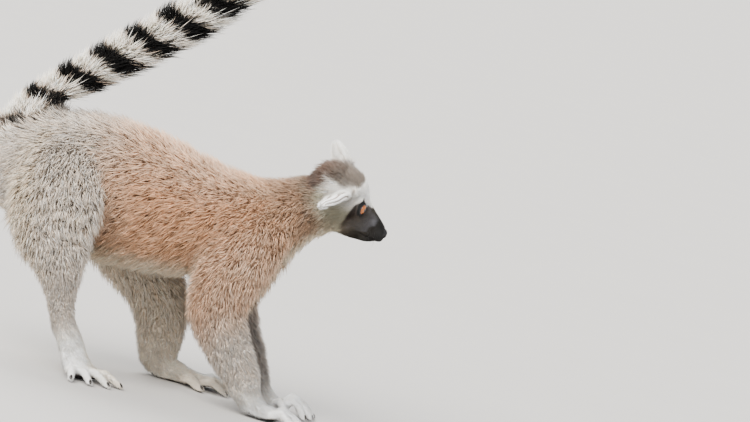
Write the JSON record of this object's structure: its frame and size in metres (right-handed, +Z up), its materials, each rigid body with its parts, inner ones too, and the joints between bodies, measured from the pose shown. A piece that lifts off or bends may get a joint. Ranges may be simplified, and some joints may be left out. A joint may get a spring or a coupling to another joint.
{
  "type": "ring-tailed lemur",
  "caption": "Life-size still model of an adult ring-tailed lemur walking on all fours, its banded tail raised in an S over the back.",
  "frame": {"origin": "middle of the base of the animal's bounding box, on the floor", "axes": "+X the way the animal faces, +Y its left side, +Z up"},
  "size_m": [0.3874, 0.2212, 0.6398],
  "materials": {
    "coat_grey": "matte",
    "coat_rust": "matte",
    "coat_white": "matte",
    "coat_dark": "matte",
    "bare_skin": "satin",
    "eye": "gloss"
  },
  "bodies": {
    "root": {"head": "coat_white", "muzzle": "coat_dark", "lower_jaw": "coat_dark", "nose": "bare_skin", "eye_right": "eye", "eye_left": "eye", "ear_right": "coat_white", "ear_left": "coat_white", "neck": "coat_dark", "chest": "coat_rust", "belly": "coat_rust", "rump": "coat_grey", "tail_1": "coat_white", "tail_2": "coat_white", "tail_3": "coat_white", "tail_4": "coat_white", "tail_5": "coat_dark", "upper_arm_right": "coat_rust", "forearm_right": "coat_grey", "hand_right": "coat_white", "upper_arm_left": "coat_rust", "forearm_left": "coat_grey", "hand_left": "coat_white", "thigh_right": "coat_grey", "shank_right": "coat_grey", "foot_right": "coat_white", "thigh_left": "coat_grey", "shank_left": "coat_grey", "foot_left": "coat_white"}
  },
  "joints": []
}
